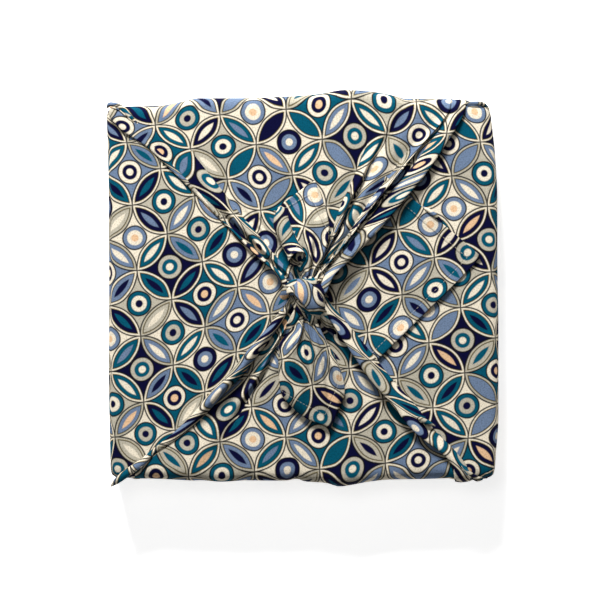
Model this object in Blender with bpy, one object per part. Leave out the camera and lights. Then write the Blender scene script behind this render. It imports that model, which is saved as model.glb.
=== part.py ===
"""Furoshiki wrap: one square cotton cloth folded and tied round a flat square parcel.

The cloth is set cornerwise. Its right corner is folded over the parcel first, its left corner over
that, and its top and bottom corners are gathered and tied on top, which leaves two free tails. The
parcel is left out, so the solid is a hollow shell of cloth. Lengths below are in millimetres: X to the
right, Y to the top edge, Z up, with the origin under the middle of the bundle. Every surface is given
by the outer face of the cloth.
"""

import math

import bmesh
import bpy
import numpy as np

MM = 0.001
TAU = 2 * math.pi

# The cloth and the parcel that it holds.
CLOTH_THICKNESS = 1.6
HALF_WIDTH = 150.0
HALF_DEPTH = 147.0
CORNER_RADIUS = 7.0
EDGE_RADIUS = 5.0
RIM_HEIGHT = 43.5
GATHER_TOP = 53.8
SIDE_X = HALF_WIDTH - CORNER_RADIUS
SIDE_Y = HALF_DEPTH - CORNER_RADIUS

# How finely each stretch is divided.
GATHER_COLUMNS = 26
FLAP_COLUMNS = 12
CORNER_STEPS = 4
EDGE_STEPS = 3
FLAP_ROWS = 6
TUBE_SIDES = 10
TAIL_COLUMNS = 8
PATH_STEPS = 3
WELD = 0.01

# How far the top edge of each long side swells out of the straight: columns (place along the side, swell).
TOP_SIDE_SWELL = ((-143, -5), (-112, -4), (-80, 1), (-10, 2), (32, 5), (60, 4), (80, 0), (143, -2))
BOTTOM_SIDE_SWELL = ((-143, 0), (-84, 1), (-12, 0), (28, 4), (70, 0), (124, 1), (143, -1))

# The side flaps: columns (side, top of the cloth, tip x, tip y, slope of the hem above the tip, and below
# it, half the flap's span where it has turned over the edge).
RIGHT_FLAP = (1, 49.0, -136.0, -6.0, 1.0, 1.0, 139.0)
LEFT_FLAP = (-1, 51.4, 137.0, 25.5, 0.84, 1.0, 136.0)

# Edges of the gathers, from the side of the parcel to the knot: columns (y, left x, right x).
TOP_GATHER_ROWS = (
    (137.0, -143.0, 135.0),
    (127.0, -132.0, 120.0),
    (113.6, -119.0, 109.5),
    (92.8, -102.0, 95.0),
    (63.4, -74.2, 73.0),
    (44.0, -55.0, 58.0),
    (21.6, -31.5, 37.0),
    (9.0, -15.0, 17.0),
    (-4.0, -5.0, 12.0),
)
BOTTOM_GATHER_ROWS = (
    (-137.0, -124.0, 124.0),
    (-117.0, -100.0, 105.0),
    (-96.0, -77.0, 84.0),
    (-78.0, -57.0, 66.0),
    (-54.0, -38.0, 45.0),
    (-38.0, -20.0, 29.0),
    (-24.0, -9.0, 17.0),
    (-10.0, -3.0, 10.0),
)

# Where the folds of each gather meet, and how the cloth climbs to the knot there.
TOP_APEX = (4.0, 4.0)
BOTTOM_APEX = (3.0, -20.0)
KNOT_CLIMB = 7.0
CLIMB_REACH = 42.0
FOLD_START = 24.0

# Folds that fan out from the knot: columns (degrees from straight out, height, half width in degrees,
# reach).
TOP_FOLDS = (
    (-47.0, 3.6, 5.0, 95.0),
    (-22.0, 1.6, 9.0, 80.0),
    (12.0, 2.2, 5.0, 120.0),
    (26.0, 2.8, 5.0, 125.0),
    (40.0, 4.6, 4.5, 150.0),
)
BOTTOM_FOLDS = (
    (-30.0, 2.2, 6.0, 60.0),
    (-8.0, 1.6, 9.0, 70.0),
    (20.0, 2.4, 6.0, 80.0),
)

# Rolled edges of the bottom gather, from the corner to the knot: columns (x, y, lift, radius).
ROLL_CLEARANCE = 0.6
LEFT_ROLL = (
    (-146.0, -149.0, -9.0, 2.0),
    (-126.0, -138.0, 0.0, 4.6),
    (-96.0, -112.0, 0.0, 3.4),
    (-68.0, -86.0, 0.0, 4.6),
    (-46.0, -64.0, 1.0, 5.2),
    (-24.0, -42.0, 4.0, 4.8),
    (-4.0, -20.0, 7.0, 4.2),
)
RIGHT_ROLL = (
    (134.0, -148.0, -10.0, 4.0),
    (118.0, -132.0, 0.0, 5.6),
    (92.0, -106.0, 0.0, 5.0),
    (62.0, -78.0, 0.6, 5.4),
    (36.0, -50.0, 2.0, 5.0),
    (10.0, -20.0, 7.0, 4.2),
)

# Excess cloth tucked in at the four corners of the parcel: columns (x, y, z, radius), a bunch at each.
CORNER_TUCKS = (
    (-142.0, 138.0, 44.0, 7.5),
    (140.0, 140.0, 44.0, 8.0),
    (-142.0, -140.0, 43.0, 7.0),
    (141.0, -139.0, 43.0, 7.5),
)

# The knot: a strap pulled tight over the gathered corners, a rolled lobe at its left and a pinched end
# below. The rolls' columns are (x, y, z, radius).
KNOT_CENTRE = (4.0, -8.0, 64.0)
KNOT_RADII = (12.0, 15.5, 11.0)
KNOT_RINGS = 9
LEFT_LOBE = (
    (-1.0, 5.0, 65.0, 3.6),
    (-9.0, 1.0, 66.0, 4.2),
    (-11.0, -7.0, 64.5, 4.0),
    (-3.0, -13.0, 63.0, 3.4),
)
PINCHED_END = (
    (6.0, -14.0, 69.0, 5.5),
    (9.0, -22.0, 71.5, 4.2),
    (9.5, -30.0, 71.0, 1.4),
)

# Sides of the tails that curl into a tube: columns (x, y, lift over the gather, radius).
UPPER_CURL = (
    (-16.0, 64.0, 1.0, 2.6),
    (-19.0, 52.0, 1.0, 5.0),
    (-17.0, 40.0, 1.4, 5.6),
    (-11.0, 29.0, 1.8, 4.6),
)
LOWER_CURL = (
    (12.0, -34.0, 2.6, 3.6),
    (18.0, -50.0, 2.0, 4.6),
    (24.0, -66.0, 1.4, 4.8),
    (28.0, -82.0, 1.0, 3.0),
)

# Free tails, from the knot to the tip: columns (y, left x, right x, lift over the gather, arch of the
# section).
UPPER_TAIL = (
    (-2.0, -2.0, 9.0, 8.0, 1.0),
    (14.0, -4.0, 14.0, 6.5, 2.5),
    (28.0, -12.0, 18.0, 4.5, 5.0),
    (46.0, -22.0, 20.5, 3.6, 7.0),
    (60.0, -21.5, 18.0, 3.4, 5.0),
    (72.0, -9.0, 13.5, 3.2, 3.0),
    (83.0, 6.0, 9.5, 3.2, 0.4),
)
LOWER_TAIL = (
    (-14.0, -1.0, 11.0, 8.0, 1.0),
    (-31.0, -9.5, 14.0, 6.5, 3.0),
    (-43.0, -18.6, 21.0, 5.0, 5.0),
    (-61.0, -18.6, 28.0, 4.0, 6.0),
    (-81.0, -16.2, 32.0, 3.6, 5.0),
    (-94.0, -4.6, 27.5, 3.4, 3.0),
    (-106.0, 17.0, 22.0, 3.2, 0.4),
)

CLOTH_COLOUR = (0.42, 0.47, 0.47, 1.0)
CLOTH_ROUGHNESS = 0.85


def clear_scene():
    for obj in list(bpy.data.objects):
        bpy.data.objects.remove(obj, do_unlink=True)


def cloth_material():
    material = bpy.data.materials.new("printed_cotton")
    material.use_nodes = True
    surface = material.node_tree.nodes["Principled BSDF"]
    surface.inputs["Base Color"].default_value = CLOTH_COLOUR
    surface.inputs["Roughness"].default_value = CLOTH_ROUGHNESS
    surface.inputs["Metallic"].default_value = 0.0
    material.diffuse_color = CLOTH_COLOUR
    return material


def column(table, index):
    return np.array([row[index] for row in table], float)


def read_table(table, at):
    """The table's columns after the first, read at the given places in its first column."""
    keys = column(table, 0)
    order = np.argsort(keys)
    at = np.asarray(at, float)
    return [np.interp(at, keys[order], column(table, i)[order]) for i in range(1, len(table[0]))]


def swell(table, x, y, z):
    """Moves points of a long side out of the straight, more towards the top of its wall."""
    outward = np.clip((np.abs(y) - HALF_DEPTH + CORNER_RADIUS) / CORNER_RADIUS, 0, 1)
    return y + np.sign(y) * outward * read_table(table, x)[0] * np.clip(z / GATHER_TOP, 0, 1)


def swollen(points):
    """The points with the swell of both long sides."""
    x, y, z = np.asarray(points, float).T
    upper = swell(TOP_SIDE_SWELL, x, y, z)
    lower = swell(BOTTOM_SIDE_SWELL, x, y, z)
    return np.column_stack([x, np.where(y > 0, upper, lower), z])


def fold_height(x, y, apex, folds, outward):
    """Climb to the knot, and the folds that fan out from it, over the flat of the gather."""
    across = x - apex[0]
    along = (y - apex[1]) * outward
    distance = np.hypot(across, along)
    angle = np.degrees(np.arctan2(across, along))
    height = KNOT_CLIMB * np.exp(-((distance / CLIMB_REACH) ** 2))
    for place, rise, half_width, reach in folds:
        fade = np.clip(1 - distance / reach, 0, 1) * np.clip(distance / FOLD_START, 0, 1)
        height = height + rise * fade * np.exp(-(((angle - place) / half_width) ** 2))
    return height


def top_gather_height(x, y):
    return GATHER_TOP + fold_height(x, y, TOP_APEX, TOP_FOLDS, 1)


def bottom_gather_height(x, y):
    return GATHER_TOP + fold_height(x, y, BOTTOM_APEX, BOTTOM_FOLDS, -1)


def ring(inset, height):
    """A rounded rectangle round the bundle, counterclockwise from the lower end of its right side."""
    radius = CORNER_RADIUS - inset
    quarter_turns = TAU / 4 * np.linspace(0, 1, CORNER_STEPS + 1)[1:-1]
    points = []
    for quarter, columns in enumerate((FLAP_COLUMNS, GATHER_COLUMNS) * 2):
        start = TAU / 4 * quarter
        outward = np.array([math.cos(start), math.sin(start)])
        forward = np.array([-math.sin(start), math.cos(start)])
        reach, half_side = (SIDE_X, SIDE_Y) if quarter % 2 == 0 else (SIDE_Y, SIDE_X)
        for along in np.linspace(-half_side, half_side, columns + 1):
            points.append(outward * (reach + radius) + forward * along)
        for turn in quarter_turns:
            bend = outward * math.cos(turn) + forward * math.sin(turn)
            points.append(outward * reach + forward * half_side + bend * radius)
    return swollen([(x, y, height) for x, y in points])


def wall_rings():
    """Rings from the floor's edge, round the bottom edge and up to the rim."""
    turns = np.linspace(0, TAU / 4, EDGE_STEPS + 1)
    rings = [ring(EDGE_RADIUS * (1 - math.sin(a)), EDGE_RADIUS * (1 - math.cos(a))) for a in turns]
    return rings + [ring(0, RIM_HEIGHT)]


def side_path(top):
    """How far in and how high a flap goes from the rim over the top edge: (inset, height) pairs."""
    turns = np.linspace(0, TAU / 4, EDGE_STEPS + 1)
    over = [(EDGE_RADIUS * (1 - math.cos(a)), top - EDGE_RADIUS * (1 - math.sin(a))) for a in turns]
    return [(0.0, RIM_HEIGHT)] + over


def flap_grid(flap):
    """A side flap: over the edge of the parcel, then flat as far as its two hems, which meet in the tip."""
    side, top, tip_x, tip_y, upper_slope, lower_slope, half_span = flap
    rim_y = np.linspace(-SIDE_Y, SIDE_Y, FLAP_COLUMNS + 1)
    half = FLAP_COLUMNS // 2
    below = np.linspace(-half_span, tip_y, half + 1)
    above = np.linspace(tip_y, half_span, half + 1)
    end_y = np.concatenate([below, above[1:]])
    slope = np.where(end_y > tip_y, upper_slope, lower_slope)
    end_x = tip_x + side * np.abs(end_y - tip_y) / slope
    rows = []
    for inset, height in side_path(top):
        narrowing = 1 - (1 - half_span / SIDE_Y) * (height - RIM_HEIGHT) / (top - RIM_HEIGHT)
        x = np.full_like(rim_y, side * (HALF_WIDTH - inset))
        rows.append(np.column_stack([x, rim_y * narrowing, np.full_like(x, height)]))
    turned = rows[-1]
    for share in np.linspace(0, 1, FLAP_ROWS + 1)[1:]:
        x = turned[:, 0] + (end_x - turned[:, 0]) * share
        y = turned[:, 1] + (end_y - turned[:, 1]) * math.sin(share * TAU / 4)
        rows.append(np.column_stack([x, y, np.full_like(x, top)]))
    return np.array(rows)


def gather_grid(outward, edges, height_of):
    """A gathered corner: over the edge of the parcel, then narrowing between its two edges to the knot."""
    across = np.linspace(-1, 1, GATHER_COLUMNS + 1)
    rows = []
    for inset, height in side_path(GATHER_TOP):
        y = outward * (HALF_DEPTH - inset) + 0 * across
        rows.append(over_edge(SIDE_X * across, y, inset, height))
    for y, left, right in edges:
        x = left + (right - left) * (across + 1) / 2
        rows.append(np.column_stack([x, y + 0 * x, height_of(x, y)]))
    return np.array(rows)


def over_edge(x, y, inset, height):
    """One row of a gather where it turns over the edge, with the swell of its side carried on to the top."""
    table = TOP_SIDE_SWELL if y[0] > 0 else BOTTOM_SIDE_SWELL
    shift = read_table(table, x)[0] * min(height / GATHER_TOP, 1) * math.copysign(1, y[0])
    return np.column_stack([x, y + shift, height + 0 * x])


def tail_grid(table, height_of):
    """A free tail: a leaf of cloth arched over its middle, with its edges near the gather."""
    across = np.linspace(-1, 1, TAIL_COLUMNS + 1)
    rows = []
    for y, left, right, lift, arch in table:
        x = left + (right - left) * (across + 1) / 2
        rows.append(np.column_stack([x, y + 0 * x, height_of(x, y) + lift + arch * (1 - across**2)]))
    return np.array(rows)


def add_grid(bm, grid, facing):
    """Adds the grid as quads, turned over where facing is negative, so that their normals point outwards."""
    vertices = [[bm.verts.new(point * MM) for point in row] for row in grid]
    for low, high in zip(vertices, vertices[1:]):
        for i in range(len(low) - 1):
            corners = [low[i], low[i + 1], high[i + 1], high[i]]
            bm.faces.new(corners if facing > 0 else corners[::-1])


def add_walls(bm):
    """Floor and walls up to the rim, facing out."""
    loops = [[bm.verts.new(point * MM) for point in points] for points in wall_rings()]
    bm.faces.new(loops[0][::-1])
    for low, high in zip(loops, loops[1:]):
        for i in range(len(low)):
            j = (i + 1) % len(low)
            bm.faces.new([low[i], low[j], high[j], high[i]])


def mesh_object(name, bm, material):
    mesh = bpy.data.meshes.new(name)
    bm.to_mesh(mesh)
    bm.free()
    mesh.materials.append(material)
    obj = bpy.data.objects.new(name, mesh)
    bpy.context.collection.objects.link(obj)
    return obj


def thicken(obj):
    solidify = obj.modifiers.new("cloth_thickness", "SOLIDIFY")
    solidify.thickness = CLOTH_THICKNESS * MM
    solidify.offset = -1
    solidify.use_even_offset = True
    solidify.use_quality_normals = True


def folded_cloth(material):
    """The cloth in one sheet: floor, walls, both flaps and both gathers."""
    bm = bmesh.new()
    add_walls(bm)
    add_grid(bm, flap_grid(RIGHT_FLAP), 1)
    add_grid(bm, flap_grid(LEFT_FLAP), -1)
    add_grid(bm, gather_grid(1, TOP_GATHER_ROWS, top_gather_height), -1)
    add_grid(bm, gather_grid(-1, BOTTOM_GATHER_ROWS, bottom_gather_height), 1)
    bmesh.ops.remove_doubles(bm, verts=bm.verts, dist=WELD * MM)
    obj = mesh_object("furoshiki_cloth", bm, material)
    thicken(obj)
    return obj


def tail(name, table, height_of, facing, material):
    bm = bmesh.new()
    add_grid(bm, tail_grid(table, height_of), facing)
    obj = mesh_object(name, bm, material)
    thicken(obj)
    return obj


def smooth_path(points, steps):
    """A Catmull-Rom curve through the points, read at this many places in each stretch."""
    points = np.array(points, float)
    padded = np.vstack([2 * points[0] - points[1], points, 2 * points[-1] - points[-2]])
    places = []
    for before, start, end, after in zip(padded, padded[1:], padded[2:], padded[3:]):
        for t in np.arange(steps) / steps:
            bend = 2 * before - 5 * start + 4 * end - after
            twist = 3 * start - 3 * end + after - before
            places.append(start + 0.5 * ((end - before) * t + bend * t**2 + twist * t**3))
    return np.array(places + [points[-1]])


def rolled_cloth(name, table, material):
    """A closed roll of cloth along a path: each row holds x, y, z and the roll's radius there."""
    path = smooth_path(table, PATH_STEPS)
    centres, radii = path[:, :3], path[:, 3]
    ahead = np.gradient(centres, axis=0)
    ahead /= np.linalg.norm(ahead, axis=1)[:, None]
    side = np.cross(ahead, (0.0, 0.0, 1.0))
    side /= np.linalg.norm(side, axis=1)[:, None]
    up = np.cross(side, ahead)
    angles = TAU * np.arange(TUBE_SIDES) / TUBE_SIDES
    bm = bmesh.new()
    loops = []
    for centre, radius, across, above in zip(centres, radii, side, up):
        loops.append([bm.verts.new((centre + radius * (math.cos(a) * across + math.sin(a) * above)) * MM)
                      for a in angles])
    for low, high in zip(loops, loops[1:]):
        for i in range(TUBE_SIDES):
            j = (i + 1) % TUBE_SIDES
            bm.faces.new([low[i], low[j], high[j], high[i]])
    bm.faces.new(loops[0][::-1])
    bm.faces.new(loops[-1])
    bmesh.ops.recalc_face_normals(bm, faces=bm.faces)
    return mesh_object(name, bm, material)


def rolled_edge(name, table, material):
    """A rolled edge of the bottom gather, which lies just clear of the left flap."""
    flap_top = LEFT_FLAP[1]
    rows = [(x, y, flap_top + ROLL_CLEARANCE + radius + lift, radius) for x, y, lift, radius in table]
    return rolled_cloth(name, rows, material)


def curl(name, table, height_of, material):
    """The side of a tail rolled into a tube, just clear of the gather below it."""
    rows = [(x, y, height_of(x, y) + ROLL_CLEARANCE + radius + lift, radius) for x, y, lift, radius in table]
    return rolled_cloth(name, rows, material)


def corner_tuck(name, place, material):
    """The bunch of tucked-in cloth that fills the gap between a flap and a gather at a corner."""
    bm = bmesh.new()
    bmesh.ops.create_icosphere(bm, subdivisions=2, radius=1.0)
    for vertex in bm.verts:
        vertex.co = [(centre + place[3] * part) * MM for centre, part in zip(place, vertex.co)]
    return mesh_object(name, bm, material)


def knot(material):
    """The strap of the knot, a barrel of cloth pulled tight across the gathered corners."""
    bm = bmesh.new()
    bmesh.ops.create_uvsphere(bm, u_segments=2 * KNOT_RINGS, v_segments=KNOT_RINGS, radius=1.0)
    for vertex in bm.verts:
        vertex.co = [(c + r * v) * MM for c, r, v in zip(KNOT_CENTRE, KNOT_RADII, vertex.co)]
    return mesh_object("knot", bm, material)


def join(whole, part):
    """Unites the part with the whole, so that the bundle stays one piece of cloth."""
    part.hide_render = True
    part.display_type = "WIRE"
    union = whole.modifiers.new("with_" + part.name, "BOOLEAN")
    union.operation = "UNION"
    union.solver = "EXACT"
    union.object = part


def build():
    clear_scene()
    material = cloth_material()
    cloth = folded_cloth(material)
    join(cloth, knot(material))
    join(cloth, rolled_cloth("knot_lobe", LEFT_LOBE, material))
    join(cloth, rolled_cloth("knot_end", PINCHED_END, material))
    join(cloth, rolled_edge("left_roll", LEFT_ROLL, material))
    join(cloth, rolled_edge("right_roll", RIGHT_ROLL, material))
    for number, place in enumerate(CORNER_TUCKS, start=1):
        join(cloth, corner_tuck(f"corner_tuck_{number}", place, material))
    join(cloth, curl("upper_curl", UPPER_CURL, top_gather_height, material))
    join(cloth, curl("lower_curl", LOWER_CURL, bottom_gather_height, material))
    join(cloth, tail("upper_tail", UPPER_TAIL, top_gather_height, 1, material))
    join(cloth, tail("lower_tail", LOWER_TAIL, bottom_gather_height, -1, material))


build()
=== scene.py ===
"""A square of printed cotton, folded round a flat box from its four corners and knotted on top.

The cloth is set cornerwise. Its right and left corners are folded flat over the box. Its back and front
corners are gathered over them and tied in one knot, and their ends lie on the parcel as two tails.
"""

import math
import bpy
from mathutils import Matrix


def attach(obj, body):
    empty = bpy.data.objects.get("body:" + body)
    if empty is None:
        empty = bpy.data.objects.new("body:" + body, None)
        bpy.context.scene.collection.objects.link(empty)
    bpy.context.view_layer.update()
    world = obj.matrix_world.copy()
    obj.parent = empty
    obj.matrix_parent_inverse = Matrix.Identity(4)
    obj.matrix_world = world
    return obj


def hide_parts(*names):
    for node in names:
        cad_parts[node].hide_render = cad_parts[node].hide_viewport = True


bl_info = {
    "name": "Furoshiki wrap",
    "version": (1, 0, 0),
    "blender": (4, 5, 0),
    "location": "View3D > Sidebar > Furoshiki",
    "description": "Folds, knots and prints a square wrapping cloth round a flat box",
    "category": "Add Mesh",
}

import bpy
import numpy as np
from mathutils import Vector

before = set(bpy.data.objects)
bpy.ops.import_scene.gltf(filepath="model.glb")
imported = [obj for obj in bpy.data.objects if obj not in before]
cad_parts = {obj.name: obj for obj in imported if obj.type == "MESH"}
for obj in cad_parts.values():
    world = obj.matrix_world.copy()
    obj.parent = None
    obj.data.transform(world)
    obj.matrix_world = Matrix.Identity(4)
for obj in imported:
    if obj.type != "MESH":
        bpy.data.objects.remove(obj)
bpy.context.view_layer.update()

MM = 0.001
NODE, SLOT, PIECE = "furoshiki_cloth", "printed_cotton", "furoshiki"
UV_LAYER = "cloth"

# The parcel inside the cloth, in millimetres.
HALF_X, HALF_Y, HEIGHT, EDGE_RADIUS = 150.0, 147.0, 49.6, 6.0

# How far each side stands out from the plain box, by the place along it.
BACK_SWELL = (
    (-143, -6.6), (-135, -8.0), (-112, -7.4), (-95, -4.5), (-80, -1.5), (-53, -1.5), (-11, 0.0), (11, 1.5),
    (32, 4.5), (46, 4.0), (60, 3.0), (79, -1.5), (114, -2.0), (130, -2.4), (143, -3.6),
)
FRONT_SWELL = (
    (-143, -0.8), (-120, -2.4), (-84, -1.2), (-64, 0.0), (-43, -1.2), (-12, -0.9), (-5, -2.2), (2, 0.0),
    (18, 0.6), (28, 3.0), (38, 1.8), (51, 0.0), (70, -1.6), (112, -2.4), (124, 0.0), (137, 0.0), (143, -0.8),
)
RIGHT_SWELL = (
    (-143, -1.4), (-128, -0.4), (-101, 1.5), (-30, 1.5), (27, 0.7), (69, 0.7), (100, -0.8), (120, -2.4),
    (143, -4.9),
)
LEFT_SWELL = ((-143, -0.8), (-60, 0.6), (0, 0.4), (70, 0.7), (143, 2.3))


# ---------------------------------------------------------------- curves and surfaces


def pchip(knots, values, at):
    """A smooth curve through a table that never swings past its values.

    Each stretch is a cubic with the slopes of its ends. An inner slope is the weighted harmonic mean of the
    two straight slopes beside it, or zero where they differ in sign. The table may hold rows of any shape.
    """
    knots = np.asarray(knots, float)
    values = np.asarray(values, float)
    at = np.clip(np.asarray(at, float), knots[0], knots[-1])
    wide = (-1,) + (1,) * (values.ndim - 1)
    step = np.diff(knots)
    slope = np.diff(values, axis=0) / step.reshape(wide)
    before, after = slope[:-1], slope[1:]
    first = (2 * step[1:] + step[:-1]).reshape(wide)
    second = (step[1:] + 2 * step[:-1]).reshape(wide)
    same = before * after > 0
    inner = np.where(
        same,
        (first + second) / (first / np.where(same, before, 1) + second / np.where(same, after, 1)),
        0.0,
    )
    tangent = np.concatenate([slope[:1], inner, slope[-1:]])
    cell = np.clip(np.searchsorted(knots, at, side="right") - 1, 0, len(step) - 1)
    t = ((at - knots[cell]) / step[cell]).reshape(wide)
    width = step[cell].reshape(wide)
    return (
        (2 * t**3 - 3 * t**2 + 1) * values[cell]
        + (t**3 - 2 * t**2 + t) * width * tangent[cell]
        + (3 * t**2 - 2 * t**3) * values[cell + 1]
        + (t**3 - t**2) * width * tangent[cell + 1]
    )


def table_curve(rows, at):
    """The smooth curve through rows of (place, value), at the places given."""
    rows = np.asarray(rows, float)
    at = np.asarray(at, float)
    return pchip(rows[:, 0], rows[:, 1], at.ravel()).reshape(at.shape)


def ease(low, high, at):
    """Zero below low, one above high, and the cubic 3t^2 - 2t^3 between them."""
    t = np.clip((np.asarray(at, float) - low) / (high - low), 0, 1)
    return t * t * (3 - 2 * t)


def uneven(x, y, length, seed):
    """A soft random height of about one: ten plane waves near the given length, drawn from the seed."""
    draw = np.random.default_rng(seed)
    angle = draw.uniform(0, 2 * np.pi, 10)
    number = 2 * np.pi / (length * draw.uniform(0.7, 1.5, 10))
    phase = draw.uniform(0, 2 * np.pi, 10)
    along = np.asarray(x)[..., None] * number * np.cos(angle)
    across = np.asarray(y)[..., None] * number * np.sin(angle)
    return np.cos(along + across + phase).sum(axis=-1) / 3.2


def creased(x, y, length, seed):
    """A height with round tops and sharp bottoms, of about one: 1.7|h| - 0.7 for an uneven height h."""
    return 1.7 * np.abs(uneven(x, y, length, seed)) - 0.7


def stations(*stretches):
    """Places along a line: each stretch is (start, end, spacing), and the last one's end is kept."""
    parts = []
    for start, end, spacing in stretches:
        count = max(1, int(round(abs(end - start) / spacing)))
        parts.append(np.linspace(start, end, count, endpoint=False))
    return np.concatenate([*parts, [stretches[-1][1]]])


def swollen(points):
    """The parcel's soft sides: each point moves out by its side's table, and less towards the middle."""
    x, y, z = points[..., 0], points[..., 1], points[..., 2]
    low = 0.6 + 0.4 * ease(0, 10, z)
    right, left = table_curve(RIGHT_SWELL, y), table_curve(LEFT_SWELL, y)
    back, front = table_curve(BACK_SWELL, x), table_curve(FRONT_SWELL, x)
    out_x = right * ease(75, HALF_X, x) - left * ease(75, HALF_X, -x)
    out_y = back * ease(95, HALF_Y, y) - front * ease(95, HALF_Y, -y)
    return np.stack([x + out_x * low, y + out_y * low, z], axis=-1)


def wrapped(flat, lift):
    """Points of a sharp box laid over a rounded one.

    Each point goes to the nearest point of an inner box, then out again by the edge radius plus its lift, so
    a lift of zero lies on the parcel and more stands off it along the surface's own normal.
    """
    low = np.array([EDGE_RADIUS - HALF_X, EDGE_RADIUS - HALF_Y, EDGE_RADIUS])
    high = np.array([HALF_X - EDGE_RADIUS, HALF_Y - EDGE_RADIUS, HEIGHT - EDGE_RADIUS])
    core = np.clip(flat, low, high)
    out = flat - core
    length = np.maximum(np.linalg.norm(out, axis=-1, keepdims=True), 1e-6)
    return swollen(core + out / length * (EDGE_RADIUS + np.asarray(lift)[..., None]))


def facing(points, faces):
    """Each face's normal times twice its area, from the cross product of its diagonals."""
    a, b, c, d = (points[faces[:, k]] for k in range(4))
    return np.cross(c - a, d - b)


def add_sheet(name, points, uv, outward=None, skipped=None):
    """A grid of points as one sheet of cloth: quads between neighbours, and a UV map of places in the cloth.

    Its faces are turned over if, taken together, they face away from outward, which is a direction or, as an
    array, one direction for each point. Skipped is a length of print for each row and each column of faces,
    added along u, so that the print can jump where a crease hides cloth. Points, uv and skipped are in
    millimetres.
    """
    rows, columns = points.shape[:2]
    index = np.arange(rows * columns).reshape(rows, columns)
    faces = np.stack([index[:-1, :-1], index[1:, :-1], index[1:, 1:], index[:-1, 1:]], axis=-1).reshape(-1, 4)
    flat = points.reshape(-1, 3)
    if outward is not None:
        wanted = np.broadcast_to(outward, points.shape).reshape(-1, 3)[faces[:, 0]]
        if (facing(flat, faces) * wanted).sum() < 0:
            faces = faces[:, ::-1]
    mesh = bpy.data.meshes.new(name)
    mesh.from_pydata((flat * MM).tolist(), [], faces.tolist())
    layer = mesh.uv_layers.new(name=UV_LAYER)
    corners = np.empty(len(mesh.loops), np.int32)
    mesh.loops.foreach_get("vertex_index", corners)
    placed = uv.reshape(-1, 2)[corners]
    if skipped is not None:
        face_column = np.repeat(np.arange(len(faces)) % (columns - 1), 4)
        placed[:, 0] += skipped[corners // columns, face_column]
    layer.data.foreach_set("uv", (placed * MM).ravel())
    mesh.polygons.foreach_set("use_smooth", np.ones(len(mesh.polygons), bool))
    mesh.update()
    sheet = bpy.data.objects.new(name, mesh)
    bpy.context.collection.objects.link(sheet)
    return sheet


def lengths_across(points):
    """The distance along each row of a grid from its first point."""
    step = np.linalg.norm(np.diff(points, axis=1), axis=-1)
    return np.concatenate([np.zeros((len(points), 1)), np.cumsum(step, axis=1)], axis=1)


def net(along_knots, table, along, across_knots, across):
    """A surface through a net of values: a smooth curve along each line of the net, then one across them."""
    lines = pchip(along_knots, np.swapaxes(np.asarray(table, float), 0, 1), along)
    return np.swapaxes(pchip(across_knots, np.swapaxes(lines, 0, 1), across), 0, 1)


def columns_between(knots, spacing, least=3):
    """Columns for a net: each gap between its lines is cut into equal steps of about the spacing."""
    parts = []
    for low, high in zip(knots[:-1], knots[1:]):
        count = max(least, int(round((high - low) / spacing)))
        parts.append(np.linspace(low, high, count, endpoint=False))
    return np.concatenate([*parts, [knots[-1]]])


# ---------------------------------------------------------------- the side corners, folded flat

FLAP_WRAP = 26.0  # how far a side's cloth goes round the upright edges
LID_WRAP = 6.5  # how far a folded corner turns down at the back and the front
FLAP_COLUMNS = 55


def flap_lift_left(p, q, edge):
    """The left flap lies 1.7 mm above the right one. Its hem stands up, and its waves fade at the wall."""
    waves = 0.3 * uneven(p, q, 46, 3) + 0.16 * uneven(p, q, 19, 4)
    hem = 0.9 * np.exp(-((edge / 6.0) ** 2)) + 0.5 * np.exp(-edge / 14.0) * uneven(q, p, 34, 5)
    return 1.7 * ease(-4, 28, p) + (waves + hem) * ease(2, 30, p)


def flap_lift_right(p, q, _edge):
    """The right flap lies at the parcel's own level, with slow waves that fade under the left flap."""
    waves = 0.34 * uneven(p, q, 44, 11) + 0.18 * uneven(p, q, 18, 12)
    return waves * ease(2, 30, p) * (1 - 0.8 * ease(40, 110, p))


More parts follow.
